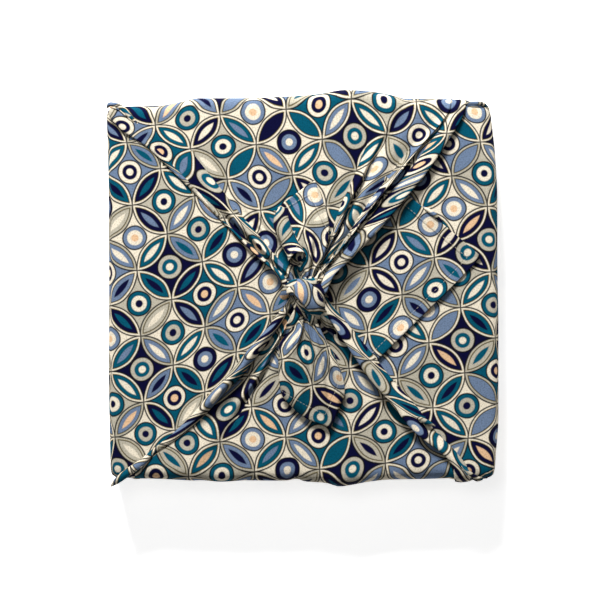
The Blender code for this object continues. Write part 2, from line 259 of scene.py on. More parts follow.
def flap(name, side, reach, lean, spread, lift_of, wall_path):
    """One side corner of the cloth, from the middle of the floor, up the wall and over the lid to its tip.

    Row p is the distance past the lid's edge, and column q the distance from the middle line. On the lid the
    corner narrows to its tip as reach - p, leans round by an angle, and its hems bow by a share of |q|. Where
    |q| passes the parcel's depth, the rest turns down the back or the front.
    """
    floor_end = -HEIGHT - HALF_X
    p = stations(
        (floor_end, -HEIGHT - 10, 18), (-HEIGHT - 10, -HEIGHT + 8, 2.7), (-HEIGHT + 8, -9, 5.5),
        (-9, 9, 1.8), (9, reach - 0.8, 4.7),
    )
    t = np.linspace(-1, 1, FLAP_COLUMNS)
    on_wall = ease(-HEIGHT - 8, -HEIGHT + 8, p) * (1 - ease(-9, 7, p))
    wrap = LID_WRAP + (FLAP_WRAP - LID_WRAP) * on_wall
    half = np.minimum(HALF_Y + wrap, reach - p)
    p, q = np.broadcast_arrays(p[:, None], half[:, None] * t[None, :])
    phase = ease(0, 120, p)
    y_line = q + np.sin(lean) * np.maximum(p, 0) * phase
    bow = spread * phase * (np.sqrt(q**2 + 144) - 12)
    in_from_edge = np.maximum(p, 0) * np.cos(lean * phase) - bow
    x = np.where(p > 0, HALF_X - in_from_edge, np.where(p < -HEIGHT, HALF_X + p + HEIGHT, HALF_X))
    z = np.where(p > 0, HEIGHT, np.where(p < -HEIGHT, 0.0, HEIGHT + p))
    y = np.clip(y_line, -HALF_Y, HALF_Y)
    past = np.abs(y_line) - np.abs(y)
    turn = np.pi / 2 * (ease(-8, 8, p) - (1 - ease(-HEIGHT - 8, -HEIGHT + 8, p)))
    x = x - past * np.cos(turn)
    z = z - past * np.sin(turn)
    edge = (reach - p - np.abs(q)) / math.sqrt(2)
    lift = lift_of(p, q, edge) - 0.9 * (1 - ease(-HEIGHT, -HEIGHT + 9, p))
    points = wrapped(np.stack([side * x, y, z], axis=-1), lift)
    uv = np.stack([side * (HALF_X + wall_path + np.maximum(p, -HEIGHT - HALF_X)), q], axis=-1)
    outward = points - np.array([0, 0, HEIGHT / 2])
    return add_sheet(name, points, uv, outward)


# The side corners: which side each comes from, how far it reaches over the lid, its lean in degrees, the bow
# of its hems, its lift, and the length of cloth up its wall.
SIDE_CORNERS = (
    ("flap_right", 1, 292.0, -1, 0.0, flap_lift_right, HEIGHT),
    ("flap_left", -1, 288.0, 5, 0.094, flap_lift_left, HEIGHT + 7),
)


# ---------------------------------------------------------------- the back and front corners, gathered

GATHER_Y = (142, 110, 75, 42, 24, 9, -3)  # stations on the lid, by distance from its middle
CLIMB = (0, 0, 0, 0.8, 3.6, 7.6, 8.6)  # how the folds rise to the knot there
FOLD_HEIGHT_Y = (142, 110, 75, 42, 9)  # where the tables below give each fold's height
LEFT_EDGE, RIGHT_EDGE_X = 2, 129.0  # the left edge's row in those tables, and the right edge's place
WALL_STATIONS = (-14, 0, 8, 25, 42)  # stations under the parcel and up its wall
SPACING_Y = 75.0  # the station where the distances between the fold lines are measured
LEAST_GAP, FOLD_STEP = 2.4, 1.7  # least distance between two fold lines, and between two columns
HIDDEN_CLOTH = 96.0  # how much cloth the creases hide on each side by the knot

# Each fold line: its place where it crosses the lid's edge, its place by the knot, how far it bows between
# them, its height at the places above, its share of the climb, and its height on the wall.
BACK_FOLDS = (
    ("left_under", -131, -9, -3, (2.3, 2.3, 2.4, 2.6, 2.8), 0.1, 0.4),
    ("left_turn", -145.4, -17, -3, (2.3, 2.3, 2.4, 2.6, 3), 0.3, 0.5),
    ("left_edge", -147, -18.8, -3, (2.9, 3, 3.3, 3.7, 4), 0.5, 1),
    ("left_top", -145.2, -17, -3, (3.5, 3.6, 3.9, 4.8, 5.5), 0.75, 1.5),
    ("left_dip", -139.5, -13.8, -5, (3.4, 3.4, 3.1, 2.1, 2.8), 0.9, 1.5),
    ("left_crest", -125, -9, -4, (3.6, 4, 5.8, 8.8, 7.6), 1, 1.8),
    ("left_foot", -112, -6.4, -3, (3.4, 3.3, 2.9, 2.1, 3), 1, 1.5),
    ("middle_left", -60, -2, 0, (3.6, 3.6, 3.4, 3.4, 3.4), 1, 1.5),
    ("middle", 0, 2, 0, (3.4, 3.6, 3.6, 3.4, 3.4), 1, 1.6),
    ("middle_right", 42, 5, 0, (3.8, 3.6, 3.4, 3.5, 3.6), 1, 2.2),
    ("valley_a", 62, 7, 0, (3, 2.6, 2, 1.8, 2.6), 1, 1.2),
    ("ridge_a", 72, 8, 0, (3.9, 5, 7.4, 8.6, 7.4), 1, 1.8),
    ("valley_b", 79, 8.6, -1, (3, 2.4, 1.4, 1.2, 2.4), 1, 1.4),
    ("shoulder", 94, 9.6, -2, (3.6, 4.2, 5.4, 6, 5.6), 1, 1.6),
    ("valley_d", 108, 10.6, -1.4, (3, 2.4, 1.8, 1.6, 2.8), 1, 1.4),
    ("ridge_b", 116, 12, -0.6, (4.4, 6.8, 10.6, 11.6, 9.4), 1, 1.8),
    ("valley_c", 117.6, 12.2, -0.6, (2.7, 2.2, 2, 2, 2.6), 0.8, 1.3),
    ("band_foot", 120.4, 13.8, 0.2, (2.8, 3.2, 4.8, 5, 4.6), 0.8, 1.3),
    ("right_band", 124.5, 17, 4, (3.6, 5.6, 8.2, 9, 9), 0.8, 1.4),
    ("right_top", 127.4, 21.6, 7.6, (3.4, 6.4, 9, 10.2, 11), 0.8, 1.2),
    ("right_edge", 129, 23.2, 8, (2.7, 5.6, 8, 9.4, 10.4), 0.7, 0.9),
    ("right_turn", 127, 21, 7.4, (2, 4.4, 6.6, 8, 9.2), 0.6, 0.5),
    ("right_under", 110, 10, 5, (1.4, 2.4, 3.6, 4.6, 7), 0.4, 0.4),
)
# The creases that hide cloth: each has its fold line, its share of that cloth, and its side of the middle.
BACK_CREASES = (
    ("left_dip", 0.5, -1), ("left_foot", 0.5, -1), ("valley_a", 0.3, 1), ("valley_b", 0.2, 1),
    ("valley_d", 0.2, 1), ("valley_c", 0.4, 1),
)

FRONT_FOLDS = (
    ("left_under", -121, -4, 4, (2.3, 2.3, 2.4, 2.5, 2.8), 0.1, 0.4),
    ("left_turn", -128.5, -9, 4, (2.3, 2.3, 2.3, 2.4, 2.8), 0.3, 0.5),
    ("left_edge", -130, -11.5, 4, (2.9, 4.2, 7.6, 8, 6.4), 0.5, 1),
    ("left_top", -128, -8.5, 7.5, (3.5, 5.8, 12.4, 12.6, 8.8), 0.7, 1.5),
    ("left_inner", -125.6, -6, 10.6, (3.3, 4.2, 7.4, 7.8, 6.4), 0.8, 1.5),
    ("left_valley", -125, -5.6, 9.6, (3, 2.8, 2.4, 2.4, 3.2), 0.9, 1.4),
    ("left_rise", -121, -4.6, 9.8, (3.3, 3.4, 3.6, 3.8, 3.8), 0.95, 1.4),
    ("left_foot", -112, -3.5, 9, (3.4, 3.3, 3.2, 3.2, 3.6), 1, 1.6),
    ("ridge_a", -86, -2.2, 3, (3.8, 4.6, 6.2, 6.8, 5.2), 1, 1.9),
    ("valley_a", -76, -1.2, 2, (2.9, 2.6, 2.2, 2.2, 3), 1, 1.3),
    ("slope_a", -62, -0.2, 1, (3.4, 3.6, 3.8, 3.8, 3.4), 1, 1.5),
    ("middle_left", -32, 1, 0, (3.6, 3.6, 3.4, 3.2, 3.2), 1, 1.7),
    ("middle", 0, 3, 0, (3.2, 3.4, 3.4, 3.2, 3.2), 1, 1.4),
    ("middle_right", 30, 5, 0, (3.9, 3.8, 3.5, 3.2, 3.2), 1, 2.4),
    ("valley_b", 62, 8, -2, (3.2, 3.1, 2.8, 2.8, 3.2), 1, 1.3),
    ("ridge_b", 86, 10, -6, (3.4, 3.4, 3.2, 3, 3), 1, 1.8),
    ("band_gap", 122, 17, -3.6, (2.2, 1.4, 1.6, 2.2, 3), 0.8, 1.3),
    ("band_under", 120.6, 15.6, -5.2, (3, 6.8, 7.6, 6.4, 5), 0.8, 1.4),
    ("band_turn", 118.4, 13.4, -7.4, (3.6, 8.6, 9.6, 8.2, 6), 0.8, 1.5),
    ("band_edge", 117, 12.4, -8.2, (4.2, 9.8, 11, 9.6, 7.2), 0.8, 1.7),
    ("band_top", 118.4, 13.6, -6.4, (4.6, 10.2, 11.8, 10.6, 8.4), 0.8, 1.9),
    ("band_middle", 123, 16, -3.6, (4.2, 7, 8.4, 8.2, 7), 0.75, 1.7),
    ("right_top", 127.6, 18.6, -1.4, (3.2, 3.8, 4.8, 5.2, 5.2), 0.6, 1.3),
    ("right_edge", 129.3, 20, -0.4, (2.2, 2.6, 3.4, 3.8, 4), 0.4, 0.9),
    ("right_turn", 127.8, 18.6, -0.8, (1.5, 1.8, 2.6, 2.9, 3), 0.2, 0.5),
    ("right_under", 116, 10.5, -2, (1.2, 1.4, 2.4, 2.6, 2.7), 0.1, 0.4),
)
FRONT_CREASES = (("left_valley", 0.6, -1), ("valley_a", 0.4, -1), ("band_gap", 1, 1))
# The gathered corners: which way each faces, its folds and creases, the half widths of its foot at the left
# and the right, how far it runs past the middle at the knot, and its seed.
GATHERS = (
    ("gather_back", 1, BACK_FOLDS, BACK_CREASES, (147, 148), -3, 41),
    ("gather_front", -1, FRONT_FOLDS, FRONT_CREASES, (148, 148), 2, 57),
)


def gather_net(folds, left_foot, right_foot, last_y):
    """The net behind a gathered corner: for each fold line, its place and height at each station on the way.

    A station is a distance from the foot of the wall, up it and over the lid. A line's place on the lid runs
    straight from its edge to the knot, plus its bow times 4f(1 - f) at a share f of the way.
    """
    far, near = GATHER_Y[0], GATHER_Y[-2]
    lid_y = np.array([*GATHER_Y[:-1], last_y])
    path = np.array([*WALL_STATIONS, *(HEIGHT + HALF_Y - lid_y)])
    place, height = [], []
    for _, edge_x, near_x, bow, heights, share, wall in folds:
        f = (far - lid_y) / (far - near)
        bend = bow * 4 * np.clip(f, 0, 1) * (1 - np.clip(f, 0, 1))
        lid_x = edge_x + (near_x - edge_x) * np.minimum(f, 1.04) + bend
        foot_x = edge_x * (left_foot / abs(folds[LEFT_EDGE][1]) if edge_x < 0 else right_foot / RIGHT_EDGE_X)
        middle_x = foot_x + (edge_x - foot_x) * 0.45
        place.append([foot_x, foot_x, foot_x, middle_x, edge_x + (foot_x - edge_x) * 0.12, *lid_x])
        lid_height = pchip(-np.array(FOLD_HEIGHT_Y), heights, -lid_y) + np.array(CLIMB) * share
        height.append([0.0, 0.0, wall * 0.6, wall, wall + (heights[0] - wall) * 0.4, *lid_height])
    return path, np.array(place), np.array(height)


def gather(name, side, folds, creases, feet, last_y, seed):
    """A corner of the cloth drawn in folds from the parcel's edge to the knot.

    Rows go up the wall and over the lid, and columns cross the fold lines of the net. Its turned edges are
    lines of the net that go back under. Fine wrinkles run along the folds, and deepen towards the knot. The
    UV map keeps the print's true size on each fold, and what the creases hide is skipped in them.
    """
    path, place, height = gather_net(folds, *feet, last_y)
    at = GATHER_Y.index(SPACING_Y) + len(WALL_STATIONS)
    step = np.maximum(np.hypot(np.diff(place[:, at]), np.diff(height[:, at])), LEAST_GAP)
    knots = np.concatenate([[0], np.cumsum(step)])
    line = {fold[0]: knot for fold, knot in zip(folds, knots)}
    a = stations((-14, -2, 6), (-2, 10, 3.0), (10, 40, 6.0), (40, 60, 2.0), (60, path[-1], 2.6))
    c = columns_between(knots, FOLD_STEP)
    x = net(path, place, a, knots, c)
    lift = net(path, height, a, knots, c)
    rows, columns = np.broadcast_arrays(a[:, None], c[None, :])
    near = ease(HEIGHT + 25, path[-1] - 20, rows)
    on_lid = ease(HEIGHT - 4, HEIGHT + 16, rows)
    inner = ease(4, 12, columns) * (1 - ease(knots[-1] - 14, knots[-1] - 5, columns))
    fine = creased(columns, rows / 9.0, 15, seed) * (0.14 + 0.75 * near)
    slow = uneven(columns, rows / 3.0, 22, seed + 1) * (0.22 + 0.25 * near)
    lift = lift + np.maximum(fine + slow, -0.9) * inner * on_lid
    lift = lift - 0.75 * (1 - ease(-2, 7, rows))
    x = x + 0.7 * uneven(rows, columns / 3.0, 38, seed + 2) * on_lid * (1 - 0.5 * near)
    y = np.where(rows < 0, HALF_Y + rows, np.where(rows > HEIGHT, HALF_Y - (rows - HEIGHT), HALF_Y))
    z = np.clip(rows, 0, HEIGHT)
    points = wrapped(np.stack([x, side * y, z], axis=-1), lift)
    across = lengths_across(points)
    middle = np.argmin(np.abs(c - line["middle"]))
    u = across - across[:, middle : middle + 1]
    hidden = HIDDEN_CLOTH * ease(HEIGHT + 25, path[-1] - 8, a)[:, None]
    between = (c[1:] + c[:-1])[None, :] / 2
    skipped = np.zeros((len(a), len(c) - 1))
    for crease, share, way in creases:
        skipped += hidden * share * way * (way * (between - line[crease]) > 0)
    uv = np.stack([u, side * (HALF_Y + rows)], axis=-1)
    outward = np.zeros_like(points)
    outward[..., 1] = np.where(rows < HEIGHT, side, 0)
    outward[..., 2] = np.where(rows > HEIGHT, 1, 0)
    return add_sheet(name, points, uv, outward, skipped)


# ---------------------------------------------------------------- the tails

# Each line of a tail runs from under the knot to the hem, as (x, y, z) at six places.
BACK_TAIL = (
    ("left_under", ((-1, 6, 60), (-3, 15, 60), (-6, 27, 59.6), (-9, 43, 58.6), (-12, 52, 57.6),
        (-16, 61, 56.4))),
    ("left_edge", ((-0.6, 6, 62), (-4, 15, 62), (-8.4, 27, 61.6), (-12.2, 43, 60.8), (-16, 53.5, 59.6),
        (-22.6, 60, 57.2))),
    ("left_top", ((0, 6, 63.4), (-2.4, 15, 63.8), (-6, 28, 63.6), (-9.5, 43.5, 62.6), (-12, 56, 60.8),
        (-17, 64.6, 58.2))),
    ("rise", ((2, 7, 64), (0, 16, 65.2), (-0.6, 29, 65.4), (-3, 45, 63.2), (-4.5, 60, 60.4),
        (-8, 71.5, 57.6))),
    ("crest", ((3.6, 7, 65), (4.2, 16, 66.8), (5.4, 30, 67.4), (4.8, 46, 65), (3.6, 63, 61.2),
        (2, 79.2, 57.4))),
    ("valley", ((5, 7, 62.6), (6.6, 16, 63.8), (8.8, 27, 65), (10, 46, 63.4), (8.6, 63, 60.6),
        (6.2, 82.4, 57))),
    ("right_crest", ((6.4, 7, 64.6), (9, 16, 66), (12.4, 28, 65.6), (14.6, 46, 63), (12.6, 62.5, 60.2),
        (8.6, 84, 56.6))),
    ("right_top", ((8, 7, 63), (11.4, 15.6, 63.8), (15.9, 27.4, 62.6), (19, 46, 60.8), (16.4, 61, 58.8),
        (11.6, 77.6, 56.6))),
    ("right_edge", ((8.6, 7, 61), (12, 15, 61.6), (17.2, 27, 60.2), (20.4, 45.6, 58.8), (18, 60, 57.6),
        (13.6, 73.2, 56.2))),
    ("right_under", ((7, 7, 59.4), (10, 15, 59.6), (13, 27, 58.2), (15.4, 45, 57.2), (14.4, 58, 56.6),
        (11.4, 69.5, 55.9))),
)
FRONT_TAIL = (
    ("left_under", ((-1, -18, 59.4), (-5, -31, 58.4), (-13, -45, 57.3), (-14, -62, 56.2),
        (-11.5, -79, 55.8), (-1, -91, 55.3))),
    ("left_edge", ((-3, -18, 61.4), (-9.5, -31, 60.8), (-18.6, -44, 59.8), (-19, -61, 59.2),
        (-16.6, -80.5, 58.4), (-5, -94.3, 56.8))),
    ("left_top", ((-2, -18, 63.2), (-7.6, -32, 63.4), (-16, -46, 62.6), (-16, -63, 62), (-13, -82, 60.6),
        (-2.5, -96.2, 58))),
    ("left_crest", ((0.2, -18, 65), (-2.6, -33, 66.2), (-8.5, -47, 66.6), (-8, -64, 65),
        (-5, -84, 62.8), (3.4, -100.2, 58.6))),
    ("valley_a", ((1.8, -18, 62.6), (2.2, -33, 62.8), (4, -47.5, 61.6), (6.4, -65, 60.8), (5.6, -86, 60),
        (9.6, -102.8, 57.8))),
    ("middle_crest", ((3.4, -18, 65.2), (6, -33, 66.4), (9.5, -48, 66.6), (14, -66, 65.4), (15, -85, 63),
        (16.6, -105.2, 58.2))),
    ("valley_b", ((4.8, -18, 62.8), (8.8, -33, 63.2), (13.6, -48, 61.6), (18.6, -66, 60.6),
        (20.4, -84, 60), (20.9, -107.4, 57.4))),
    ("right_crest", ((6.4, -18, 64.6), (11.4, -32, 65.6), (19, -49, 66.2), (25, -65, 65),
        (27.6, -80, 62.8), (24.4, -99.6, 58))),
    ("right_top", ((7.8, -18, 63), (13.2, -31.5, 63.2), (22.6, -50, 62.6), (28.8, -65.2, 61.8),
        (31, -79.4, 60.6), (26.2, -96.6, 57.6))),
    ("right_edge", ((8.4, -18, 61.2), (13.8, -31, 61.2), (23.8, -50, 60.4), (29.9, -65.5, 60),
        (32.2, -79, 59.2), (26.8, -95.2, 56.9))),
    ("right_under", ((6, -18, 59.2), (10.5, -30.5, 58.6), (18.8, -49, 57.5), (24.6, -64.6, 56.4),
        (27.4, -77.4, 56), (23, -91.5, 55.4))),
)
TAIL_PLACES = (0, 0.14, 0.32, 0.55, 0.78, 1)  # how far along a tail those six places are
WIDE_PLACE = 3  # the place where the distances between a tail's lines are measured
TAIL_ROWS, TAIL_STEP = 56, 1.4
# The tails: the lines of each, its tip, the direction of its corner in degrees, and its seed.
TAILS = (
    ("tail_back", BACK_TAIL, (8.6, 84), 72, 83),
    ("tail_front", FRONT_TAIL, (20.9, -107.4), -70, 89),
)
CLOTH_TIP = 495.0  # from the cloth's middle to its corner
PRINT_TURN = 48.5  # degrees between the cloth's diagonal and the rows of circles


def tail(name, lines, tip, axis, seed):
    """A free end of the cloth: a net of lines from under the knot to the hem, with fine wrinkles along them.

    The UV map is laid out from the tip of the cloth's corner, along its axis and square to it, and stretched
    across by the surface's own rise, so that the print keeps its size on the folds.
    """
    table = np.array([line for _, line in lines], float)
    step = np.linalg.norm(np.diff(table[:, WIDE_PLACE], axis=0), axis=-1)
    knots = np.concatenate([[0], np.cumsum(step)])
    t = np.linspace(0, 1, TAIL_ROWS)
    c = columns_between(knots, TAIL_STEP)
    points = net(TAIL_PLACES, table, t, knots, c)
    rows, columns = np.broadcast_arrays(t[:, None], c[None, :])
    inner = ease(2.5, 6, columns) * (1 - ease(knots[-1] - 6, knots[-1] - 2.5, columns))
    near = 1 - ease(0.3, 0.85, rows)
    fine = (0.25 + 0.75 * near) * creased(columns, rows * 9, 12.5, seed)
    pleats = 1.2 * near * ease(0.02, 0.14, rows) * creased(columns, rows * 12, 9.0, seed + 3)
    slow = 0.45 * uneven(columns, rows * 45, 21, seed + 1)
    hem = 0.5 * ease(0.93, 1.0, rows) * uneven(columns, rows, 14, seed + 2)
    points[..., 2] += (fine + pleats + slow * ease(0.1, 0.4, rows) + hem) * inner
    along = np.array([math.cos(axis), math.sin(axis)])
    square = np.array([-along[1], along[0]])
    away = points[..., :2] - np.array(tip)
    across = lengths_across(points)
    flat = away @ square
    middle = np.argmin(np.abs(c - knots[len(knots) // 2]))
    way = np.sign(flat[0, -1] - flat[0, 0])
    stretched = flat[:, middle : middle + 1] + way * (across - across[:, middle : middle + 1])
    side = np.sign(tip[1])
    u = (flat + (stretched - flat) * (1 - rows**3)) * -side
    v = side * (CLOTH_TIP + away @ along)
    return add_sheet(name, points, np.stack([u, v], axis=-1), (0, 0, 1))


# ---------------------------------------------------------------- rolls and straps


def path_through(table, count):
    """A smooth path through a table of points or sizes, at even steps of the table."""
    table = np.asarray(table, float)
    return pchip(np.linspace(0, 1, len(table)), table, np.linspace(0, 1, count))


def run_of(path):
    """The length of a path from its start to each of its points."""
    return np.concatenate([[0], np.cumsum(np.linalg.norm(np.diff(path, axis=0), axis=-1))])


def unit(vectors):
    """Vectors of the same directions and length one."""
    return vectors / np.maximum(np.linalg.norm(vectors, axis=-1, keepdims=True), 1e-9)


def frame_along(path, up):
    """Three unit directions at each point of a path: along it, across it, and up, made square to both."""
    along = unit(np.gradient(path, axis=0))
    across = unit(np.cross(along, np.broadcast_to(up, path.shape)))
    return along, across, np.cross(across, along)


def roll(name, table, radii, start, turns, origin, inside, seed, count=36, around=22):
    """A rolled edge of cloth: a spiral of the given turns carried along a path.

    The spiral's radius is the table's radius times a share that grows evenly from inside to one. The UV map
    is the length along the path and round the spiral, from an origin in the cloth.
    """
    path = path_through(table, count)
    radius = path_through(radii, count)
    _, across, up = frame_along(path, (0, 0, 1))
    share = np.linspace(0, 1, around)
    angle = np.radians(start) + share * turns * 2 * np.pi
    grow = inside + (1 - inside) * share
    wobble = 1 + 0.05 * uneven(np.arange(count)[:, None] * 0.8, share[None, :] * 8, 12, seed)
    reach = radius[:, None] * grow[None, :] * wobble
    ring = np.cos(angle)[None, :, None] * across[:, None] + np.sin(angle)[None, :, None] * up[:, None] * 0.9
    points = path[:, None] + reach[..., None] * ring
    u, v = np.broadcast_arrays(run_of(path)[:, None], lengths_across(points).mean(axis=0)[None, :])
    uv = np.stack([origin[0] + u, origin[1] + v], axis=-1)
    return add_sheet(name, points, uv, ring)


def strap(name, table, widths, crown, origin, creases, seed, count=36, around=24):
    """A folded strap of the knot: a domed band whose edges turn under, carried along a path over its centre.

    Across the band, s goes from -1 to 1. The middle part rises as crown times (1 - s^2), and past |s| = 0.8
    the edge goes down and back in. Creases along the band are waves of s whose places wander along the path.
    """
    path = path_through(table, count)
    width = path_through(widths, count)
    _, across, up = frame_along(path, unit(path - np.array(KNOT_CENTRE)))
    s = np.linspace(-1, 1, around)
    bend = np.abs(s) ** 3
    out = np.sign(s) * np.sin(np.minimum(np.abs(s) * 1.25, 1.9) * np.pi / 2 / 1.12)
    fall = crown * (1 - s**2) - 3.2 * bend**2
    places = np.linspace(0, 1, count)
    fade = ease(0, 0.2, places) * (1 - ease(0.75, 1, places))
    waves = creased(s[None, :] * 9, places[:, None] * 3.5, 7.5, seed) * (1 - bend)[None, :] * fade[:, None]
    rise = fall[None, :] + creases * waves
    points = (
        path[:, None]
        + (width[:, None] / 2 * out[None, :])[..., None] * across[:, None]
        + rise[..., None] * up[:, None]
    )
    v = lengths_across(points)
    u, v = np.broadcast_arrays(run_of(path)[:, None], v - v[:, -1:] / 2)
    uv = np.stack([origin[0] + u, origin[1] + v], axis=-1)
    return add_sheet(name, points, uv, np.broadcast_to(up[:, None], points.shape))


KNOT_CENTRE = (4.0, -8.0, 60.0)  # the straps stand square to the lines from here
KNOT_MIDDLE = (4.0, -8.0, 63.0)
KNOT_HALF = (10.2, 13.6, 9.4)  # half of each side of the knot's body
CORE_AROUND, CORE_RISE = (0, 2 * np.pi, 37), (-1.45, 1.45, 19)  # the body's angles: from, to, how many
CORE_RADIUS, CORE_PLACE = 11, (30, 370)  # its mean radius for the print, and its place in the cloth


def knot_core(name):
    """The knot's body: an egg whose radius carries slanting creases, as a sine of the two angles round it."""
    turn, rise = np.meshgrid(np.linspace(*CORE_AROUND), np.linspace(*CORE_RISE), indexing="ij")
    slant = turn * 3 + rise * 2.4
    grow = 1 + 0.045 * np.sin(slant) + 0.03 * uneven(np.cos(turn) * 10, rise * 10 + np.sin(turn) * 10, 9, 31)
    ball = np.stack([np.cos(rise) * np.cos(turn), np.cos(rise) * np.sin(turn), np.sin(rise)], axis=-1)
    ball[-1] = ball[0]
    grow[-1] = grow[0]
    points = np.asarray(KNOT_MIDDLE) + ball * np.asarray(KNOT_HALF) * grow[..., None]
    uv = np.stack([turn, rise], axis=-1) * CORE_RADIUS + CORE_PLACE
    return add_sheet(name, points, uv, ball)


TIGHT, OPEN = 0.62, 0.9  # the inner radius of a roll's spiral, as a share of the outer one

# Each rolled edge: its path, its radii, the angle where its spiral starts in degrees, its turns, its place in
# the cloth, and the share of the radius that its spiral starts from.
ROLLED_EDGES = (
    ("back_left_point", ((-152, 140.5, 44.5), (-149, 142.6, 49.6), (-142.5, 141, 52.4), (-134, 133.5, 53.2),
        (-126, 126, 52.8)),
     (0.7, 2.4, 2.7, 2.2, 1), -60, 1.25, (-150, 150), TIGHT),
    ("back_right_tuck", ((126, 143, 49.2), (131, 143.6, 50.4), (138, 143.2, 49.6), (143, 141, 46)),
     (0.8, 1.6, 1.9, 0.8), 200, 1.2, (100, 163), TIGHT),
    ("front_left_point", ((-148.6, -152.6, 45.6), (-144, -148.6, 49.6), (-135, -141.6, 53),
        (-126, -135.4, 54.2), (-117, -128, 53.4)),
     (0.8, 2.8, 3.7, 3.4, 1.6), 160, 1.3, (-160, -160), TIGHT),
    ("front_right_point", ((122, -136.5, 53.4), (128.5, -142.5, 53), (134.5, -146.2, 50.6),
        (139, -147, 46)),
     (0.8, 2.3, 2.5, 1), -40, 1.2, (140, -170), TIGHT),
    ("band_crumple", ((87.5, -98.6, 57.5), (91.5, -100.8, 58.4), (96, -103, 57), (102, -105.8, 54.6)),
     (0.5, 2.4, 2.6, 0.4), -60, 1.15, (160, -310), TIGHT),
    ("hem_curl", ((92.5, 63.6, 52.6), (97, 60.4, 53.6), (102, 56.6, 53.6), (108, 51.2, 52.4)),
     (0.5, 2, 2.1, 0.5), -80, 1.1, (420, 60), TIGHT),
    ("tail_curl", ((-3.8, 23.6, 71.6), (-6.4, 28, 66.4), (-10.6, 36, 63), (-14.6, 45, 61.6),
        (-16.4, 54, 60.2), (-14.6, 62, 58.2)),
     (7.8, 7.2, 6.9, 6.9, 6.2, 4), -100, 1.06, (60, 400), OPEN),
)
# Each strap of the knot: its path, widths and crown, its place in the cloth, and the depth of its creases.
KNOT_STRAPS = (
    ("strap_over", ((-14.2, -4.6, 61.5), (-11.4, 0.4, 67.2), (-5, 2.4, 71.2), (2, -2.4, 73.8),
        (7.8, -9.6, 72.6), (11.4, -17.6, 67.6), (11.6, -22.4, 60.5)),
     (7.5, 10.4, 13.6, 15.6, 15.4, 12.6, 8), 1.9, (14, 390), 0.42),
    ("strap_behind", ((-3, 6.4, 61), (2.4, 7, 66.6), (8.4, 3.6, 69.6), (12.4, -3, 69.8),
        (14, -10, 66.6), (12.6, -16.6, 60.6)),
     (8, 9.6, 10.4, 10, 9, 7.6), 1.3, (95, 430), 0.4),
    ("strap_below", ((-8.4, -3, 60), (-6.8, -8.4, 66), (-2.8, -14.4, 68.6), (3, -19.6, 67),
        (8.4, -22.6, 61.8)),
     (8, 9.4, 10, 9.4, 7.4), 1.2, (60, 330), 0.42),
    ("pinched_end", ((5.6, -15.5, 69.6), (6.7, -20.4, 68.6), (8, -25.4, 65.6), (9.2, -29.6, 56)),
     (5.5, 6.6, 6.2, 4.4), 1.3, (0, 360), 0.35),
    ("neck_left", ((-1.5, -13.5, 66.5), (-5.5, -20, 64.4), (-9.4, -27.5, 60.4), (-15.5, -38, 50.5)),
     (6, 6.6, 6.4, 4.4), 1.6, (-40, 350), 0.5),
    ("neck_right", ((11.5, -13.5, 66.5), (15, -18.5, 64), (19, -26, 59.6), (27, -39, 49.5)),
     (6, 6.8, 6.6, 4.4), 1.5, (45, 345), 0.5),
    ("neck_back", ((6.6, 1.5, 67), (9.8, 6.4, 65.4), (14, 13, 61.8), (24, 25.5, 51.4)),
     (6, 7.4, 7.2, 4.6), 1.4, (35, 340), 0.5),
)
KNOT_LOBE = (
    "knot_lobe", ((-2.4, 5.6, 66.4), (-7.6, 3.4, 68.2), (-12, -0.8, 67.4), (-15.2, -6.4, 63.4)),
    (3.2, 4, 4.1, 3.5), 30, 1.3, (-30, 400), TIGHT,
)


# ---------------------------------------------------------------- the printed cotton


def linear(red, green, blue):
    """A screen colour, from 0 to 255 each, as linear light with an alpha of one."""
    out = []
    for value in (red, green, blue):
        v = value / 255
        out.append(v / 12.92 if v <= 0.04045 else ((v + 0.055) / 1.055) ** 2.4)
    return (*out, 1.0)


class Nodes:
    """A short way to write a node tree: each call adds one node and returns one of its outputs."""

    def __init__(self, tree):
        self.tree = tree

    def add(self, kind, inputs=(), output=0, **settings):
        node = self.tree.nodes.new(kind)
        for key, value in settings.items():
            setattr(node, key, value)
        for key, value in inputs.items() if isinstance(inputs, dict) else enumerate(inputs):
            if isinstance(value, bpy.types.NodeSocket):
                self.tree.links.new(value, node.inputs[key])
            else:
                node.inputs[key].default_value = value
        return node.outputs[output] if node.outputs else None

    def math(self, operation, *values):
        return self.add("ShaderNodeMath", values, operation=operation)

    def times(self, first, second):
        return self.math("MULTIPLY", first, second)

    def plus(self, *parts):
        """The sum of the parts, added one by one."""
        total = parts[0]
        for part in parts[1:]:
            total = self.math("ADD", total, part)
        return total

    def distance(self, across, along):
        """The root of the sum of the two squares."""
        return self.math("SQRT", self.plus(self.times(across, across), self.times(along, along)))

    def mix(self, share, first, second, blend="MIX"):
        inputs = {0: share, 6: first, 7: second}
        return self.add("ShaderNodeMix", inputs, 2, data_type="RGBA", blend_type=blend)

    def below(self, value, limit, soft):
        """One where value is under limit, falling to zero over the soft width round it."""
        return self.add(
            "ShaderNodeMapRange",
            {0: value, 1: limit - soft, 2: limit + soft, 3: 1.0, 4: 0.0},
            interpolation_type="SMOOTHSTEP",
        )

    def between(self, value, low, high, soft):
        """One where value lies between low and high."""
        return self.math("SUBTRACT", self.below(value, high, soft), self.below(value, low, soft))


